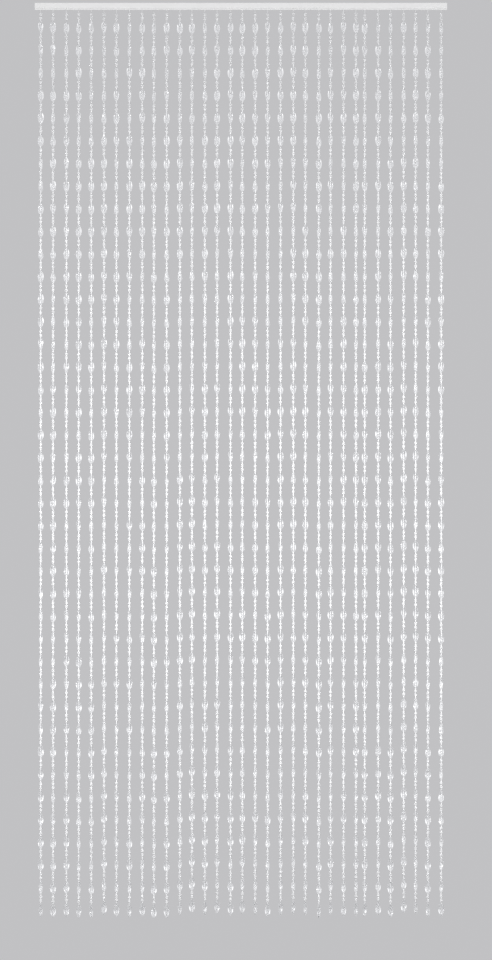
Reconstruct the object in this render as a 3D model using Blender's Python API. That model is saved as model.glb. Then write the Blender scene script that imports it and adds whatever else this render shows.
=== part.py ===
# Bead curtain: thirty-three strands of moulded beads that hang from a slim white lath.
# Metres, +Z up, the front faces -Y. The origin is the middle of the lath's top edge.
import math
import random
from collections import namedtuple

import bmesh
import bpy

# Lath: the plain heading bar
LATH_WIDTH = 0.900
LATH_HEIGHT = 0.012
LATH_DEPTH = 0.006
LATH_EDGE = 0.0008

# Carrier: a narrow strip under the lath, in a left and a right length, that the strands' roots are fused to
CARRIER_HEIGHT = 0.003
CARRIER_DEPTH = 0.004
SEAT_GAP = 0.0003
CARRIER_TOP = -LATH_HEIGHT - SEAT_GAP
CARRIER_BOTTOM = CARRIER_TOP - CARRIER_HEIGHT

# Strands, from left to right, with one narrow step near the right-hand side
STRAND_COUNT = 33
STRAND_PITCH = 0.02756
NARROW_PITCH = 0.0194
STRANDS_LEFT_OF_NARROW = 26
STRANDS_IN_LEFT_NODE = 17

# One repeat down a strand: two small spacers, then a long oval bead
REPEAT_COUNT = 40
REPEAT = 0.0493
FIRST_SPACER_DROP = 0.0100
SPACER_STEP = 0.0087
SPACER_TO_OVAL = 0.0201
OVAL_LENGTH = 0.0270
CUT_END = 0.0020

# Circumradii of a strand's three-sided section, at the thread, the spacers and the ovals
SECTION_SIDES = 3
THREAD_RADIUS = 0.0012
SPACER_RADIUS = 0.0031
OVAL_RADIUS = 0.0062
ROOT_BITE = 0.0015

# How unevenly a hand-strung curtain hangs
SWAY_SEED = 33
PLACE_SWAY = 0.0013
DROP_SWAY = 0.0012
REPEAT_SWAY = 0.00015

Strand = namedtuple("Strand", "x first_oval repeat")


def clear_scene():
    for old in list(bpy.data.objects):
        bpy.data.objects.remove(old)


def plastic(name, colour, roughness, see_through=0.0):
    """A Principled plastic, clear where see_through is above 0."""
    material = bpy.data.materials.new(name)
    material.use_nodes = True
    shader = material.node_tree.nodes["Principled BSDF"]
    shader.inputs["Base Color"].default_value = (*colour, 1.0)
    shader.inputs["Metallic"].default_value = 0.0
    shader.inputs["Roughness"].default_value = roughness
    shader.inputs["Transmission Weight"].default_value = see_through
    return material


def new_object(name, bm, material, parent):
    mesh = bpy.data.meshes.new(name)
    bm.to_mesh(mesh)
    bm.free()
    mesh.materials.append(material)
    made = bpy.data.objects.new(name, mesh)
    bpy.context.scene.collection.objects.link(made)
    made.parent = parent
    return made


def box_bmesh(x_low, x_high, depth, z_low, z_high):
    """A box centred on Y = 0 between the given ends."""
    bm = bmesh.new()
    bmesh.ops.create_cube(bm, size=1.0)
    bmesh.ops.scale(bm, vec=(x_high - x_low, depth, z_high - z_low), verts=bm.verts)
    bmesh.ops.translate(bm, vec=((x_low + x_high) / 2, 0, (z_low + z_high) / 2), verts=bm.verts)
    return bm


def hung_strands():
    """Where each strand hangs, the height of its first oval and its own repeat."""
    sway = random.Random(SWAY_SEED)
    span = STRAND_PITCH * (STRAND_COUNT - 2) + NARROW_PITCH
    first_oval = CARRIER_BOTTOM - FIRST_SPACER_DROP - SPACER_STEP - SPACER_TO_OVAL
    strands = []
    x = -span / 2
    for index in range(STRAND_COUNT):
        strands.append(
            Strand(
                x=x + sway.uniform(-PLACE_SWAY, PLACE_SWAY),
                first_oval=first_oval + sway.uniform(-DROP_SWAY, DROP_SWAY),
                repeat=REPEAT + sway.uniform(-REPEAT_SWAY, REPEAT_SWAY),
            )
        )
        x += NARROW_PITCH if index + 1 == STRANDS_LEFT_OF_NARROW else STRAND_PITCH
    return strands


def strand_rings(strand):
    """Height and circumradius of each section down a strand, from its root to its cut end."""
    rings = [(CARRIER_BOTTOM + ROOT_BITE, THREAD_RADIUS)]
    for repeat in range(REPEAT_COUNT):
        oval = strand.first_oval - repeat * strand.repeat
        spacers = oval + SPACER_TO_OVAL + SPACER_STEP / 2
        rings.append((spacers, SPACER_RADIUS))
        rings.append((oval, OVAL_RADIUS))
    rings.append((oval - OVAL_LENGTH / 2 - CUT_END, THREAD_RADIUS))
    return rings


def add_strand(bm, strand):
    """A closed three-sided strand that swells at every oval and draws in at every pair of spacers."""
    corners = [math.radians(90 + 360 * side / SECTION_SIDES) for side in range(SECTION_SIDES)]
    sections = [
        [bm.verts.new((strand.x + radius * math.cos(a), radius * math.sin(a), z)) for a in corners]
        for z, radius in strand_rings(strand)
    ]
    bm.faces.new(sections[0])
    bm.faces.new(reversed(sections[-1]))
    for upper, lower in zip(sections, sections[1:]):
        for side in range(SECTION_SIDES):
            after = (side + 1) % SECTION_SIDES
            bm.faces.new((upper[side], lower[side], lower[after], upper[after]))


def build_lath(material, parent):
    bm = box_bmesh(-LATH_WIDTH / 2, LATH_WIDTH / 2, LATH_DEPTH, -LATH_HEIGHT, 0)
    lath = new_object("heading_lath", bm, material, parent)
    edge = lath.modifiers.new("rounded edges", "BEVEL")
    edge.width = LATH_EDGE
    edge.segments = 1
    return lath


def build_strands(name, strands, x_low, x_high, material, parent):
    """One carrier strip with its strands fused to it at their roots."""
    carrier = box_bmesh(x_low, x_high, CARRIER_DEPTH, CARRIER_BOTTOM, CARRIER_TOP)
    node = new_object(name, carrier, material, parent)
    hanging = bmesh.new()
    for strand in strands:
        add_strand(hanging, strand)
    roots = new_object(name + "_hanging", hanging, material, parent)
    roots.hide_render = True
    roots.display_type = "WIRE"
    fuse = node.modifiers.new("fused roots", "BOOLEAN")
    fuse.operation = "UNION"
    fuse.solver = "EXACT"
    fuse.object = roots
    return node


def main():
    clear_scene()
    curtain = bpy.data.objects.new("bead_curtain", None)
    bpy.context.scene.collection.objects.link(curtain)
    white = plastic("white_lath", (0.86, 0.86, 0.85), 0.4)
    clear = plastic("clear_beads", (0.93, 0.94, 0.95), 0.08, see_through=0.9)
    build_lath(white, curtain)
    strands = hung_strands()
    left = strands[:STRANDS_IN_LEFT_NODE]
    right = strands[STRANDS_IN_LEFT_NODE:]
    joint = (left[-1].x + right[0].x) / 2
    end = LATH_WIDTH / 2
    build_strands("strands_left", left, -end, joint - SEAT_GAP / 2, clear, curtain)
    build_strands("strands_right", right, joint + SEAT_GAP / 2, end, clear, curtain)


main()
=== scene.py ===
# %% [markdown]
# # A bead curtain, from the lath to the last bead
#
# This lesson dresses a imported CAD model of a bead curtain. The CAD part has a slim lath and
# thirty-three plain three-sided strands that swell where the long beads are. Here every bead,
# spacer and thread becomes a piece of its own, at the place that the CAD gives it.

# The dressed curtain has to stay the same size.

import math
import random
from collections import namedtuple

import bmesh
import bpy
from mathutils import Matrix, Vector


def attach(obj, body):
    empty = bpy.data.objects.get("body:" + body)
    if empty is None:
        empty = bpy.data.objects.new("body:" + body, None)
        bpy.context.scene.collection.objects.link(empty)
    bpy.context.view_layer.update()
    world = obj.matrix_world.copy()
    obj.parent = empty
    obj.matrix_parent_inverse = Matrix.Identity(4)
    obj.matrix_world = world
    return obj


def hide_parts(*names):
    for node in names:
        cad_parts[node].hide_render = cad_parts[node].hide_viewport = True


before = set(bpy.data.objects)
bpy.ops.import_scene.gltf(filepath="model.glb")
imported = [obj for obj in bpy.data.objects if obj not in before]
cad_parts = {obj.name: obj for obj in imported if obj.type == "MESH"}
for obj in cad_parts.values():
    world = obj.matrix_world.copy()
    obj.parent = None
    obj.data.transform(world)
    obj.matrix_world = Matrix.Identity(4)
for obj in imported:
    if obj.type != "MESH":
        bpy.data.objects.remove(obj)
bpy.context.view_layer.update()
print("CAD nodes:", sorted(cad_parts))

# %% [markdown]
# ## The sizes that everything hangs from
#
# The origin is the middle of the lath's top edge, +Z is up and the front faces -Y. A curtain like
# this is strung to one pattern: two small spacers, then one long bead, forty times down each
# thread. It could be laid out by eye, but a few named sizes keep the beads on the CAD's strands.

# %% Sizes of the lath, the lip under it and the pattern on a thread
LATH_WIDTH = 0.900
LATH_HEIGHT = 0.012
LATH_DEPTH = 0.006
LIP_HEIGHT = 0.003
LIP_DEPTH = 0.004
SEAT_GAP = 0.0003
LIP_TOP = -LATH_HEIGHT - SEAT_GAP
LIP_BOTTOM = LIP_TOP - LIP_HEIGHT

STRANDS = 33
PITCH = 0.02756
NARROW_PITCH = 0.0194
STRANDS_LEFT_OF_NARROW = 26
STRANDS_IN_LEFT_NODE = 17

REPEATS = 40
REPEAT = 0.0493
FIRST_SPACER_DROP = 0.0100
SPACER_STEP = 0.0087
SPACER_TO_OVAL = 0.0201
OVAL_LENGTH = 0.0270
CUT_END = 0.0020
ROOT_BITE = 0.0015
print("strands:", STRANDS, "long beads:", STRANDS * REPEATS, "spacers:", 2 * STRANDS * REPEATS)

# %% [markdown]
# ## Where each strand hangs
#
# No hand-strung curtain is even. Each strand hangs a millimetre or so off its place, its first bead
# sits a little high or low, and its repeat is a hair long or short, so the rows drift apart towards
# the floor. A seeded generator gives the same unevenness on every run, drawn in the same order as
# in the CAD's source.

# %% Hang the strands
SWAY_SEED = 33
PLACE_SWAY = 0.0013
DROP_SWAY = 0.0012
REPEAT_SWAY = 0.00015

Strand = namedtuple("Strand", "x first_oval repeat")


def hang_strands():
    sway = random.Random(SWAY_SEED)
    x = -(PITCH * (STRANDS - 2) + NARROW_PITCH) / 2
    first_oval = LIP_BOTTOM - FIRST_SPACER_DROP - SPACER_STEP - SPACER_TO_OVAL
    hung = []
    for index in range(STRANDS):
        hung.append(
            Strand(
                x=x + sway.uniform(-PLACE_SWAY, PLACE_SWAY),
                first_oval=first_oval + sway.uniform(-DROP_SWAY, DROP_SWAY),
                repeat=REPEAT + sway.uniform(-REPEAT_SWAY, REPEAT_SWAY),
            )
        )
        x += NARROW_PITCH if index + 1 == STRANDS_LEFT_OF_NARROW else PITCH
    return hung


strands = hang_strands()
halves = {
    "left": strands[:STRANDS_IN_LEFT_NODE],
    "right": strands[STRANDS_IN_LEFT_NODE:],
}
print("first strand at", round(strands[0].x, 4), "last strand at", round(strands[-1].x, 4))

# %% [markdown]
# ## A solid drawn up from ring to ring
#
# Beads, spacers and threads are all long solids whose section changes with height. A lathe would do
# for the round ones, but a long bead is flat, so all three start as one capped circle whose top
# face is extruded, moved and scaled again and again. Extruding leaves the old top inside the solid,
# where it would show as a line across clear plastic, so it is deleted. The side edges stay in line
# and can be twisted later.

# %% A helper that extrudes rings
Ring = namedtuple("Ring", "height half_width half_depth")
print("a ring is given by:", Ring._fields)


def draw_up(sides, roll, rings):
    """A closed solid through the given rings, and each ring's vertices from the bottom up."""
    bm = bmesh.new()
    bmesh.ops.create_circle(
        bm, cap_ends=True, segments=sides, radius=1.0, matrix=Matrix.Rotation(roll, 4, "Z")
    )
    low = rings[0]
    bmesh.ops.scale(bm, vec=(low.half_width, low.half_depth, 1), verts=bm.verts)
    bmesh.ops.translate(bm, vec=(0, 0, low.height), verts=bm.verts)
    bm.faces.ensure_lookup_table()
    top = bm.faces[0]
    levels = [list(bm.verts)]
    for below, ring in zip(rings, rings[1:]):
        covered = top
        made = bmesh.ops.extrude_face_region(bm, geom=[covered])["geom"]
        top = next(part for part in made if isinstance(part, bmesh.types.BMFace))
        if below is not low:
            bmesh.ops.delete(bm, geom=[covered], context="FACES_ONLY")
        raised = [part for part in made if isinstance(part, bmesh.types.BMVert)]
        wider = ring.half_width / below.half_width
        deeper = ring.half_depth / below.half_depth
        bmesh.ops.scale(bm, vec=(wider, deeper, 1), verts=raised)
        bmesh.ops.translate(bm, vec=(0, 0, ring.height - below.height), verts=raised)
        levels.append(raised)
    bmesh.ops.recalc_face_normals(bm, faces=bm.faces)
    return bm, levels


def finished_mesh(name, bm):
    """Turns a bmesh into a mesh and says how it came out."""
    loose = sum(not edge.is_manifold for edge in bm.edges)
    mesh = bpy.data.meshes.new(name)
    bm.to_mesh(mesh)
    bm.free()
    print(name, "faces:", len(mesh.polygons), "open edges:", loose)
    return mesh


# %% [markdown]
# ## The long bead
#
# The real bead is a clear acrylic oval, 27 mm long, 13 mm wide and about 7 mm thick, moulded with a
# twist. It could be a squashed sphere, but that has none of the flat windows and slanting glints of
# the real one. An eight-sided section gives a window at the front and back, a thin facet at each
# side and a prism between them. The ends draw in to a small round collar, and turning each ring a
# little more than the one below makes the twist. Only the lengthwise edges are kept sharp, so each
# facet runs smoothly from end to end.
#
# The bore matters too. A thread inside solid plastic would get little light, but a thread in an
# air-filled bore shows white through the bead, as the real one does. Both ends are inset and the
# two rims bridged.

# %% Model one long bead
OVAL_WIDTH = 0.0130
OVAL_THICKNESS = 0.0070
COLLAR_RADIUS = 0.0017
OVAL_SIDES = 8
OVAL_LEVELS = (-1.0, -0.87, -0.58, -0.2, 0.2, 0.58, 0.87, 1.0)
OVAL_FULLNESS = 0.8
BORE_RADIUS = 0.0011
OVAL_TWIST = math.radians(60)
OVAL_END = OVAL_LENGTH * 0.499
SAME_HEIGHT = 1e-6


def oval_ring(level):
    fullness = (1 - level * level) ** OVAL_FULLNESS
    corner = 1 / math.cos(math.pi / OVAL_SIDES)
    width = COLLAR_RADIUS + (OVAL_WIDTH / 2 - COLLAR_RADIUS) * fullness
    depth = COLLAR_RADIUS + (OVAL_THICKNESS / 2 - COLLAR_RADIUS) * fullness
    return Ring(level * OVAL_LENGTH / 2, width * corner, depth * corner)


def bore_through(bm):
    """Insets the two end faces and bridges their rims into a straight bore."""
    ends = [face for face in bm.faces if len(face.verts) == OVAL_SIDES]
    for end in ends:
        bmesh.ops.inset_region(bm, faces=[end], thickness=COLLAR_RADIUS - BORE_RADIUS)
    rims = [edge for end in ends for edge in end.edges]
    bmesh.ops.delete(bm, geom=ends, context="FACES_ONLY")
    return bmesh.ops.bridge_loops(bm, edges=rims)["faces"]


def long_bead():
    rings = [oval_ring(level) for level in OVAL_LEVELS]
    bm, levels = draw_up(OVAL_SIDES, math.pi / OVAL_SIDES, rings)
    bore = set(bore_through(bm))
    for level, verts in zip(OVAL_LEVELS, levels):
        twist = Matrix.Rotation(OVAL_TWIST * level / 2, 3, "Z")
        bmesh.ops.rotate(bm, cent=(0, 0, 0), matrix=twist, verts=verts)
    for face in bm.faces:
        face.smooth = True
    for edge in bm.edges:
        low, high = (vert.co.z for vert in edge.verts)
        lengthwise = abs(high - low) > SAME_HEIGHT
        at_end = min(abs(low), abs(high)) > OVAL_END
        inside = all(face in bore for face in edge.link_faces)
        edge.smooth = inside or not (lengthwise or at_end)
    bmesh.ops.recalc_face_normals(bm, faces=bm.faces)
    return finished_mesh("long_bead", bm)


oval_pattern = long_bead()

# %% [markdown]
# ## The small spacer
#
# Between the long beads sit two small spacers. Close up each one is a short spool: two rims with a
# waist between them, about 6 mm across and 5 mm tall. It could be a plain ring, but the two rims
# are what makes it glitter as four points of light. Eight sides are enough at this size.

# %% Model one spacer
SPACER_RADIUS = 0.00305
SPACER_HEIGHT = 0.0054
WAIST_RADIUS = 0.0019
MOUTH_RADIUS = 0.0017
SPACER_SIDES = 8
SpoolStep = namedtuple("SpoolStep", "level radius")
SPOOL_STEPS = (
    SpoolStep(-1.00, MOUTH_RADIUS),
    SpoolStep(-0.84, SPACER_RADIUS),
    SpoolStep(-0.38, SPACER_RADIUS),
    SpoolStep(0.00, WAIST_RADIUS),
    SpoolStep(0.38, SPACER_RADIUS),
    SpoolStep(0.84, SPACER_RADIUS),
    SpoolStep(1.00, MOUTH_RADIUS),
)


def small_spacer():
    rings = [
        Ring(step.level * SPACER_HEIGHT / 2, step.radius, step.radius) for step in SPOOL_STEPS
    ]
    bm, _ = draw_up(SPACER_SIDES, math.pi / SPACER_SIDES, rings)
    for face in bm.faces:
        face.smooth = len(face.verts) == 4
    return finished_mesh("small_spacer", bm)


spacer_pattern = small_spacer()

# %% [markdown]
# ## The thread
#
# A white nylon thread runs from the lip through every bead. It could be a curve with a round bevel,
# but a mesh tube can carry its own UV map, which the twist of the yarn needs: u goes once round the
# thread and v once along it. One thread a metre long is made here, and each strand stretches a copy
# of it.

# %% Model one metre of thread
THREAD_RADIUS = 0.0009
THREAD_SIDES = 6
THREAD_STEPS = 40


def metre_of_thread():
    levels = [-1 + step / THREAD_STEPS for step in range(THREAD_STEPS + 1)]
    rings = [Ring(level, THREAD_RADIUS, THREAD_RADIUS) for level in levels]
    bm, _ = draw_up(THREAD_SIDES, 0.0, rings)
    winding = bm.loops.layers.uv.new("winding")
    for face in bm.faces:
        middle = face.calc_center_median()
        around = math.atan2(middle.y, middle.x) / math.tau
        face.smooth = len(face.verts) == 4
        for loop in face.loops:
            corner = math.atan2(loop.vert.co.y, loop.vert.co.x) / math.tau
            corner += round(around - corner)
            loop[winding].uv = (corner, loop.vert.co.z)
    return finished_mesh("metre_of_thread", bm)


thread_pattern = metre_of_thread()

# %% [markdown]
# ## Stringing
#
# One object for each bead would be nearly four thousand objects. Copies of the pattern are moved,
# turned and joined instead, so one half of the curtain has one piece of long beads, one of spacers
# and one of threads, as the CAD has one node for each half.

# %% Helpers that join copies and hand the pieces to the frame
shown = {}
print("halves to string:", {side: len(hung) for side, hung in halves.items()})


def join_copies(name, pattern, places):
    """One mesh that holds a copy of the pattern at each place."""
    bm = bmesh.new()
    for place in places:
        copy = pattern.copy()
        copy.transform(place)
        bm.from_mesh(copy)
        bpy.data.meshes.remove(copy)
    mesh = bpy.data.meshes.new(name)
    bm.to_mesh(mesh)
    bm.free()
    return mesh


def triangles_in(mesh):
    return sum(len(face.vertices) - 2 for face in mesh.polygons)


def show(name, mesh, material, nodes):
    """Puts a mesh in the scene as a piece that rides on the curtain and stands for CAD nodes."""
    piece = bpy.data.objects.new(name, mesh)
    bpy.context.scene.collection.objects.link(piece)
    mesh.materials.clear()
    mesh.materials.append(material)
    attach(piece, "root")
    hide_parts(*nodes)
    shown[name] = piece
    print(name, "triangles:", triangles_in(mesh))


# %% [markdown]
# ## A helper for the finishes
#
# Every finish here is a Principled shader whose roughness and bump come from noise or a wave,
# because no moulded or spun surface is perfectly even. Values that are the same all over sit on the
# shader's own sockets.

# %% Helpers for a Principled finish
NOISE_LOW = 0.3
NOISE_HIGH = 0.7
print("most noise lies between", NOISE_LOW, "and", NOISE_HIGH)


def new_finish(name, colour, **sockets):
    material = bpy.data.materials.new(name)
    material.use_nodes = True
    shader = material.node_tree.nodes["Principled BSDF"]
    shader.inputs["Base Color"].default_value = (*colour, 1.0)
    for socket, value in sockets.items():
        title = socket.replace("_", " ").title().replace("Ior", "IOR")
        shader.inputs[title].default_value = value
    return material, shader


def object_noise(material, scale, detail, stretch=(1, 1, 1)):
    """Noise in the piece's own metres, stretched along an axis where that number is below 1."""
    nodes = material.node_tree.nodes
    links = material.node_tree.links
    place = nodes.new("ShaderNodeTexCoord")
    mapping = nodes.new("ShaderNodeMapping")
    mapping.inputs["Scale"].default_value = stretch
    noise = nodes.new("ShaderNodeTexNoise")
    noise.inputs["Scale"].default_value = scale
    noise.inputs["Detail"].default_value = detail
    links.new(place.outputs["Object"], mapping.inputs["Vector"])
    links.new(mapping.outputs["Vector"], noise.inputs["Vector"])
    return noise


def spread(material, source, low, high):
    """Maps noise or a wave to the range that a socket needs."""
    ranged = material.node_tree.nodes.new("ShaderNodeMapRange")
    ranged.inputs["From Min"].default_value = NOISE_LOW
    ranged.inputs["From Max"].default_value = NOISE_HIGH
    ranged.inputs["To Min"].default_value = low
    ranged.inputs["To Max"].default_value = high
    material.node_tree.links.new(source, ranged.inputs["Value"])
    return ranged.outputs["Result"]


def raise_bump(material, shader, height, strength, distance):
    bump = material.node_tree.nodes.new("ShaderNodeBump")
    bump.inputs["Strength"].default_value = strength
    bump.inputs["Distance"].default_value = distance
    material.node_tree.links.new(height, bump.inputs["Height"])
    material.node_tree.links.new(bump.outputs["Normal"], shader.inputs["Normal"])


# %% [markdown]
# ## Clear acrylic
#
# Moulded acrylic bends light nearly as much as glass, with a refractive index of 1.49. A Glass
# shader would do for a picture, but a Principled one with full transmission keeps its colour and
# roughness when the curtain is exported. Acrylic isn't flawless: flow lines run along the bead from
# the mould's gate, and handling leaves the polish a little duller in places. Noise that is
# stretched along the thread gives the flow lines.

# %% Finish for the long beads
ACRYLIC_IOR = 1.49


def clear_acrylic():
    material, shader = new_finish(
        "clear_acrylic", (0.99, 0.995, 1.0), transmission_weight=1.0, ior=ACRYLIC_IOR
    )
    cloud = object_noise(material, scale=70.0, detail=2.0)
    polish = spread(material, cloud.outputs["Fac"], low=0.02, high=0.07)
    material.node_tree.links.new(polish, shader.inputs["Roughness"])
    flow = object_noise(material, scale=420.0, detail=2.0, stretch=(1, 1, 0.3))
    raise_bump(material, shader, flow.outputs["Fac"], strength=0.05, distance=0.0003)
    return material


acrylic = clear_acrylic()
print("made", acrylic.name)

# %% [markdown]
# ## Milky clear plastic
#
# The spacers are cheaper mouldings with tiny bubbles in them, so they look whiter than the long
# beads. The bubbles could be a volume inside the plastic, but that is slow to render in a bead of 6
# mm. Part of the light passes through and the rest scatters, and a transmission below 1 over a
# white base gives the same look.

# %% Finish for the spacers
def milky_plastic():
    material, shader = new_finish(
        "milky_plastic", (0.97, 0.975, 0.98), transmission_weight=0.38, ior=ACRYLIC_IOR
    )
    cloud = object_noise(material, scale=300.0, detail=3.0)
    polish = spread(material, cloud.outputs["Fac"], low=0.08, high=0.22)
    material.node_tree.links.new(polish, shader.inputs["Roughness"])
    ripple = object_noise(material, scale=900.0, detail=2.0)
    raise_bump(material, shader, ripple.outputs["Fac"], strength=0.3, distance=0.0002)
    return material


milky = milky_plastic()
print("made", milky.name)

# %% [markdown]
# ## Twisted nylon
#
# The thread is laid from a few plies, so fine ridges wind round it. Each ply could be a tube of its
# own, but on a thread under 2 mm thick a bump is enough. A wave texture on the winding map makes
# the ridges, and the same wave paints shade into the grooves, where light doesn't reach, and paints
# light onto the ridges. The wave's scale is set to one ridge for each whole number on the map, so
# the ridges meet where the map closes.

# %% Finish for the threads
PLIES = 3
RIDGES_ALONG = 800
ONE_RIDGE_A_UNIT = math.pi / 5
# Painted shade in the grooves and painted light on the ridges: a darker and a lighter white.
GROOVE_PAINTED_SHADE = (0.84, 0.84, 0.85, 1)
RIDGE_PAINTED_LIGHT = (0.96, 0.96, 0.96, 1)
UNEVEN_LAY = 0.4


def twisted_nylon():
    material, shader = new_finish("twisted_nylon", (0.9, 0.9, 0.9), sheen_weight=0.2)
    nodes = material.node_tree.nodes
    links = material.node_tree.links
    winding = nodes.new("ShaderNodeUVMap")
    winding.uv_map = "winding"
    laid = nodes.new("ShaderNodeMapping")
    laid.inputs["Scale"].default_value = (PLIES, RIDGES_ALONG, 1)
    wave = nodes.new("ShaderNodeTexWave")
    wave.wave_type = "BANDS"
    wave.bands_direction = "DIAGONAL"
    wave.inputs["Scale"].default_value = ONE_RIDGE_A_UNIT
    wave.inputs["Distortion"].default_value = UNEVEN_LAY
    links.new(winding.outputs["UV"], laid.inputs["Vector"])
    links.new(laid.outputs["Vector"], wave.inputs["Vector"])
    # Painted light and shade: the wave makes the grooves a darker white and the ridges a lighter
    # one.
    painted_light_and_shade = nodes.new("ShaderNodeValToRGB")
    painted_light_and_shade.color_ramp.elements[0].color = GROOVE_PAINTED_SHADE
    painted_light_and_shade.color_ramp.elements[1].color = RIDGE_PAINTED_LIGHT
    links.new(wave.outputs["Fac"], painted_light_and_shade.inputs["Fac"])
    links.new(painted_light_and_shade.outputs["Color"], shader.inputs["Base Color"])
    gloss = spread(material, wave.outputs["Fac"], low=0.45, high=0.65)
    links.new(gloss, shader.inputs["Roughness"])
    raise_bump(material, shader, wave.outputs["Fac"], strength=0.5, distance=0.0002)
    return material


nylon = twisted_nylon()
print("made", nylon.name)

# %% [markdown]
# ## White moulded plastic
#
# The lath is satin white plastic. One flat white would do from across a room, but close up it would
# look like paper. Its gloss therefore changes slowly along the bar, and a very fine grain breaks up
# the highlight, as a matt mould does.

# %% Finish for the lath and its lip
DULLER_WHITE = (0.83, 0.83, 0.82, 1)
BRIGHTER_WHITE = (0.88, 0.88, 0.875, 1)


def white_plastic():
    material, shader = new_finish("white_plastic", (0.86, 0.86, 0.85), ior=1.47)
    slow = object_noise(material, scale=18.0, detail=2.0)
    gloss = spread(material, slow.outputs["Fac"], low=0.32, high=0.46)
    links = material.node_tree.links
    links.new(gloss, shader.inputs["Roughness"])
    tint = material.node_tree.nodes.new("ShaderNodeValToRGB")
    tint.color_ramp.elements[0].color = DULLER_WHITE
    tint.color_ramp.elements[1].color = BRIGHTER_WHITE
    links.new(slow.outputs["Fac"], tint.inputs["Fac"])
    links.new(tint.outputs["Color"], shader.inputs["Base Color"])
    grain = object_noise(material, scale=2400.0, detail=3.0)
    raise_bump(material, shader, grain.outputs["Fac"], strength=0.15, distance=0.0001)
    return material


plastic = white_plastic()
print("made", plastic.name)

# %% [markdown]
# ## Hang the long beads
#
# Some beads show their full width and some their edge, which is most of the curtain's sparkle.
# Every bead could get a turn of its own, but a bead rubs on its neighbours and turns with them, so
# the turn drifts from one bead to the next down a thread. Each bead also gets a hair of play along
# the thread and a slight lean.

# %% Place the long beads on their threads
CAD_NODE = {"left": "strands_left", "right": "strands_right"}
TURN_SEED = 7
turns = random.Random(TURN_SEED)
LEAN = math.radians(1.5)
PLAY = 0.0004
DRIFT = math.radians(55)


def bead_places(hung):
    places = []
    for strand in hung:
        facing = turns.uniform(0, math.tau)
        for repeat in range(REPEATS):
            height = strand.first_oval - repeat * strand.repeat + turns.uniform(-PLAY, PLAY)
            facing += turns.uniform(-DRIFT, DRIFT)
            turn = Matrix.Rotation(facing, 4, "Z")
            lean = Matrix.Rotation(turns.uniform(-LEAN, LEAN), 4, "Y")
            places.append(Matrix.Translation((strand.x, 0, height)) @ lean @ turn)
    return places


for side, hung in halves.items():
    beads = join_copies("long_beads_" + side, oval_pattern, bead_places(hung))
    show("long_beads_" + side, beads, acrylic, [CAD_NODE[side]])

# %% [markdown]
# ## Hang the spacers
#
# The two spacers of a pair don't quite touch, and a short stretch of thread shows between them.
# They could all sit at exact heights, but a little play along the thread keeps the rows from
# looking ruled. A spacer is round, so its turn only moves its facets' glints.

# %% Place the spacers in pairs
SPACER_PLAY = 0.0003


def spacer_places(hung):
    places = []
    for strand in hung:
        for repeat in range(REPEATS):
            second = strand.first_oval - repeat * strand.repeat + SPACER_TO_OVAL
            for height in (second + SPACER_STEP, second):
                height += turns.uniform(-SPACER_PLAY, SPACER_PLAY)
                turn = Matrix.Rotation(turns.uniform(0, math.tau), 4, "Z")
                places.append(Matrix.Translation((strand.x, 0, height)) @ turn)
    return places


for side, hung in halves.items():
    spools = join_copies("spacers_" + side, spacer_pattern, spacer_places(hung))
    show("spacers_" + side, spools, milky, [CAD_NODE[side]])

# %% [markdown]
# ## Hang the threads
#
# A thread starts inside the lip and ends a little below the last bead. A cloth or rope simulation
# could hang it, but the beads' weight pulls it straight, so a copy of the metre of thread is only
# stretched to each strand's own length.

# %% Stretch a thread down each strand
def thread_places(hung):
    places = []
    top = LIP_BOTTOM + ROOT_BITE
    for strand in hung:
        last_oval = strand.first_oval - (REPEATS - 1) * strand.repeat
        bottom = last_oval - OVAL_LENGTH / 2 - CUT_END
        stretch = Matrix.Diagonal((1, 1, top - bottom, 1))
        places.append(Matrix.Translation((strand.x, 0, top)) @ stretch)
    return places


for side, hung in halves.items():
    threads = join_copies("threads_" + side, thread_pattern, thread_places(hung))
    show("threads_" + side, threads, nylon, [CAD_NODE[side]])

# %% [markdown]
# ## The lath and its lip
#
# Nothing is known of the curtain's top but that something holds the threads, so the lath is kept
# plain: a slim bar with eased edges, and under it the narrow lip that the threads come out of. Each
# could be extruded from its section, but a cube scaled to size and bevelled all round gives the
# same bar in fewer steps.

# %% Model the lath and the lip
LATH_EASE = 0.0009
LIP_EASE = 0.0005
EASE_STEPS = 3


def eased_bar(name, width, depth, top, height, ease):
    bm = bmesh.new()
    bmesh.ops.create_cube(bm, size=1.0)
    bmesh.ops.scale(bm, vec=(width, depth, height), verts=bm.verts)
    bmesh.ops.translate(bm, vec=(0, 0, top - height / 2), verts=bm.verts)
    bmesh.ops.bevel(
        bm,
        geom=bm.edges,
        offset=ease,
        affect="EDGES",
        segments=EASE_STEPS,
        profile=0.5,
        material=-1,
    )
    return finished_mesh(name, bm)


lath = eased_bar("lath", LATH_WIDTH, LATH_DEPTH, 0.0, LATH_HEIGHT, LATH_EASE)
lip = eased_bar("lip", LATH_WIDTH, LIP_DEPTH, LIP_TOP, LIP_HEIGHT, LIP_EASE)
show("lath", lath, plastic, ["heading_lath"])
show("lip", lip, plastic, list(CAD_NODE.values()))
print("triangles in all:", sum(triangles_in(piece.data) for piece in shown.values()))

# %% [markdown]
# ## The room
#
# Clear beads show by what they bend towards the viewer, and a mid grey all round lets them read as
# clear. A real bead gathers light from the whole room and looks a little lighter than the wall
# behind it. A brighter wall would lose the beads against it, so the room is made a quarter brighter
# for light that goes on through the beads than for what is seen straight on.

# %% Grey room
ROOM_GREY = (0.535, 0.535, 0.548)
ROOM_FILL = 1.27


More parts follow.
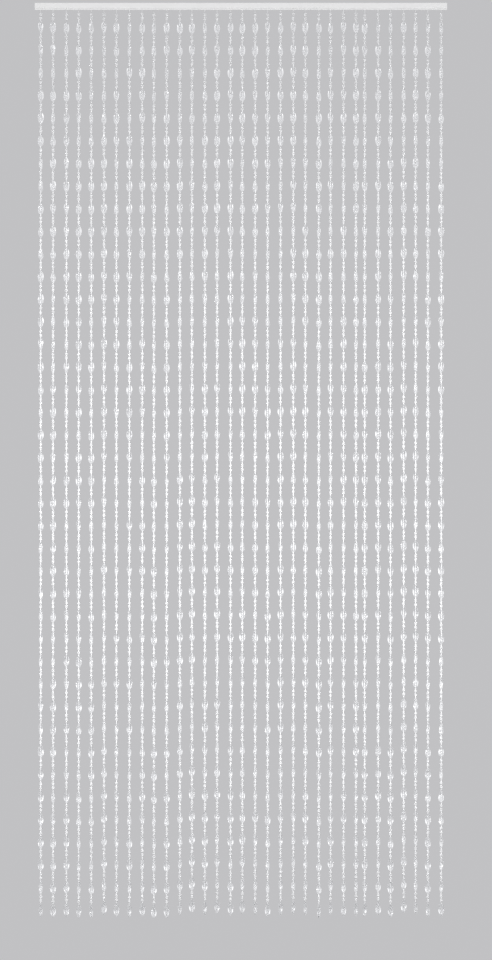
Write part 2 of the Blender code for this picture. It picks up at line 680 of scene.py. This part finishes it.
def grey_room():
    world = bpy.data.worlds.new("grey_room")
    world.use_nodes = True
    bpy.context.scene.world = world
    nodes = world.node_tree.nodes
    links = world.node_tree.links
    seen = nodes["Background"]
    seen.inputs["Color"].default_value = (*ROOM_GREY, 1)
    fill = nodes.new("ShaderNodeBackground")
    fill.inputs["Color"].default_value = (*ROOM_GREY, 1)
    fill.inputs["Strength"].default_value = ROOM_FILL
    path = nodes.new("ShaderNodeLightPath")
    either = nodes.new("ShaderNodeMixShader")
    links.new(path.outputs["Is Camera Ray"], either.inputs["Fac"])
    links.new(fill.outputs["Background"], either.inputs[1])
    links.new(seen.outputs["Background"], either.inputs[2])
    links.new(either.outputs["Shader"], nodes["World Output"].inputs["Surface"])


grey_room()
print("room grey:", ROOM_GREY)

# %% [markdown]
# ## The floor
#
# The curtain hangs clear of a plain pale floor. From straight ahead the floor is edge-on and
# doesn't show. A curved backdrop would hide where floor and room meet, but from behind it would
# stand in front of the curtain. Here the room alone lights the floor, and a tone of one over the
# room's fill brings the floor back to the grey that the room is seen in, so no line runs between
# them.

# %% Floor
FLOOR_DROP = -2.03
FLOOR_SIZE = 40.0
FLOOR_TONE = 1 / ROOM_FILL


def pale_floor():
    bm = bmesh.new()
    bmesh.ops.create_grid(bm, x_segments=1, y_segments=1, size=FLOOR_SIZE / 2)
    bmesh.ops.translate(bm, vec=(0, 0, FLOOR_DROP), verts=bm.verts)
    floor = bpy.data.objects.new("floor", finished_mesh("floor", bm))
    bpy.context.scene.collection.objects.link(floor)
    material, shader = new_finish("pale_floor", (FLOOR_TONE,) * 3, roughness=0.9)
    floor.data.materials.append(material)
    return floor


floor = pale_floor()

# %% [markdown]
# ## A soft panel that fades with height
#
# The middle of the curtain sparkles most and its top and bottom are calmer. Short panels would do
# that, but a bead would then show a panel's ends as hard dots, and its tips, which look up and
# down, would stay dull. The panels beside the curtain stand from the floor to well above it
# instead. Every panel is brightest at the height of the curtain's middle and fades smoothly from
# there.

# %% Fade a panel
BRIGHTEST_HEIGHT = -1.1
FADE_FROM = 0.2
FADE_TO = 1.05
FADED_SHARE = 0.25


def brightest_at_mid_height(light):
    light.use_nodes = True
    nodes = light.node_tree.nodes
    links = light.node_tree.links
    place = nodes.new("ShaderNodeNewGeometry")
    parts = nodes.new("ShaderNodeSeparateXYZ")
    links.new(place.outputs["Position"], parts.inputs["Vector"])
    off_middle = nodes.new("ShaderNodeMath")
    off_middle.operation = "SUBTRACT"
    off_middle.inputs[1].default_value = BRIGHTEST_HEIGHT
    links.new(parts.outputs["Z"], off_middle.inputs[0])
    distance = nodes.new("ShaderNodeMath")
    distance.operation = "ABSOLUTE"
    links.new(off_middle.outputs["Value"], distance.inputs[0])
    fade = nodes.new("ShaderNodeMapRange")
    fade.interpolation_type = "SMOOTHSTEP"
    fade.inputs["From Min"].default_value = FADE_FROM
    fade.inputs["From Max"].default_value = FADE_TO
    fade.inputs["To Min"].default_value = 1.0
    fade.inputs["To Max"].default_value = FADED_SHARE
    links.new(distance.outputs["Value"], fade.inputs["Value"])
    links.new(fade.outputs["Result"], nodes["Emission"].inputs["Strength"])


print("share of light left above and below:", FADED_SHARE)

# %% [markdown]
# ## Panels round the curtain
#
# Four tall panels stand off to the sides, where a bead's facets bend light from, and give the long
# beads their white edges. Two thin ones in front add a fine glint. Small lamps would be simpler,
# but they break the white edges up into flecks. None of them lights the floor, or it would be
# brighter than the room.
#
# Threads and spacers scatter light and need it from straight ahead and straight behind as well. A
# panel there would fill every long bead with white, so the two washes light threads and spacers
# only, and no spacer shows them as a reflection. A real bead lets light through to its thread,
# while a renderer stops direct light at clear plastic. The long beads are therefore left out of
# what shades the washes, and the thread inside them shows white. The heading has a weaker pair of
# its own, because the washes would burn out its white plastic.

# %% Place the panels
Panel = namedtuple("Panel", "name x y z width height watts lights")
PANELS = (
    Panel("glint_left", -0.7, -2.4, -1.05, 0.16, 1.4, 3, "all"),
    Panel("glint_right", 1.1, -2.2, -1.05, 0.16, 1.4, 3, "all"),
    Panel("behind_left", -2.1, 2.4, 0.0, 1.0, 4.0, 7, "all"),
    Panel("behind_right", 2.1, 2.4, 0.0, 1.0, 4.0, 7, "all"),
    Panel("side_left", -1.85, -0.45, 0.0, 1.3, 4.0, 20, "all"),
    Panel("side_right", 1.85, -0.45, 0.0, 1.3, 4.0, 18, "all"),
    Panel("wash_front", 0.0, -1.0, -1.15, 2.6, 1.0, 21, "strung"),
    Panel("wash_behind", 0.0, 1.0, -1.15, 2.6, 1.0, 22, "strung"),
    Panel("heading_front", 0.0, -1.0, -1.15, 2.6, 1.0, 12, "heading"),
    Panel("heading_behind", 0.0, 1.0, -1.15, 2.6, 1.0, 12, "heading"),
)


def light_link(name, state, pieces):
    """A collection that keeps light or shadow to the given pieces, or off them."""
    linked = bpy.data.collections.new(name)
    for piece in pieces:
        linked.objects.link(piece)
    for entry in linked.collection_objects:
        entry.light_linking.link_state = state
    return linked


def pieces_called(*starts):
    """The shown pieces whose names begin with one of the given words."""
    return [piece for name, piece in shown.items() if name.startswith(starts)]


LIT = {
    "all": light_link("all_but_the_floor", "EXCLUDE", [floor]),
    "strung": light_link("strung", "INCLUDE", pieces_called("spacers", "threads")),
    "heading": light_link("heading", "INCLUDE", pieces_called("lath", "lip")),
}
SHADING = light_link("all_but_long_beads", "EXCLUDE", pieces_called("long_beads"))


def soft_panel(panel):
    light = bpy.data.lights.new(panel.name, "AREA")
    light.shape = "RECTANGLE"
    light.size = panel.width
    light.size_y = panel.height
    light.energy = panel.watts
    brightest_at_mid_height(light)
    made = bpy.data.objects.new(panel.name, light)
    bpy.context.scene.collection.objects.link(made)
    made.location = (panel.x, panel.y, panel.z)
    towards = Vector((-panel.x, -panel.y, 0))
    made.rotation_euler = towards.to_track_quat("-Z", "Y").to_euler()
    made.visible_camera = False
    made.light_linking.receiver_collection = LIT[panel.lights]
    if panel.lights == "strung":
        made.visible_glossy = False
        made.visible_transmission = False
        made.light_linking.blocker_collection = SHADING


for panel in PANELS:
    soft_panel(panel)
print("panels:", [panel.name for panel in PANELS])

# %% [markdown]
# ## The camera
#
# A curtain that is seen straight on, with no perspective, calls for an orthographic camera. A long
# lens from far away would come close, but its scale would have to be found by trial. Here the scale
# comes from the pattern itself: one repeat of beads is a known number of picture points tall.

# %% Camera
PICTURE_WIDTH = 492
PICTURE_HEIGHT = 960
REPEAT_IN_POINTS = 22.59
CURTAIN_MIDDLE_POINT = 240.85
FIRST_SPACER_POINT = 14.3
CAMERA_AHEAD = 4.0
FAR_CLIP = 100
metres_a_point = REPEAT / REPEAT_IN_POINTS


def straight_on_camera():
    lens = bpy.data.cameras.new("camera")
    lens.type = "ORTHO"
    lens.ortho_scale = PICTURE_HEIGHT * metres_a_point
    lens.clip_end = FAR_CLIP
    camera = bpy.data.objects.new("camera", lens)
    bpy.context.scene.collection.objects.link(camera)
    x = (PICTURE_WIDTH / 2 - CURTAIN_MIDDLE_POINT) * metres_a_point
    first_spacer = LIP_BOTTOM - FIRST_SPACER_DROP
    z = first_spacer - (PICTURE_HEIGHT / 2 - FIRST_SPACER_POINT) * metres_a_point
    camera.location = (x, -CAMERA_AHEAD, z)
    camera.rotation_euler = (math.radians(90), 0, 0)
    bpy.context.scene.camera = camera


straight_on_camera()
bpy.context.scene.view_settings.view_transform = "Standard"
print("millimetres a picture point:", round(metres_a_point * 1000, 3))

# %% [markdown]
# ## Room for light to bounce about in the beads
#
# Light is thrown from wall to wall inside a clear bead many times before it finds its way out. A
# renderer that gives up early leaves black specks at the tips, and those inner reflections count as
# glossy ones, so both limits are raised.

# %% Bounce limits
PATH_LIMIT = 32
path = bpy.context.scene.cycles
path.max_bounces = PATH_LIMIT
path.transmission_bounces = PATH_LIMIT
path.glossy_bounces = PATH_LIMIT
print("bounces at most:", PATH_LIMIT)
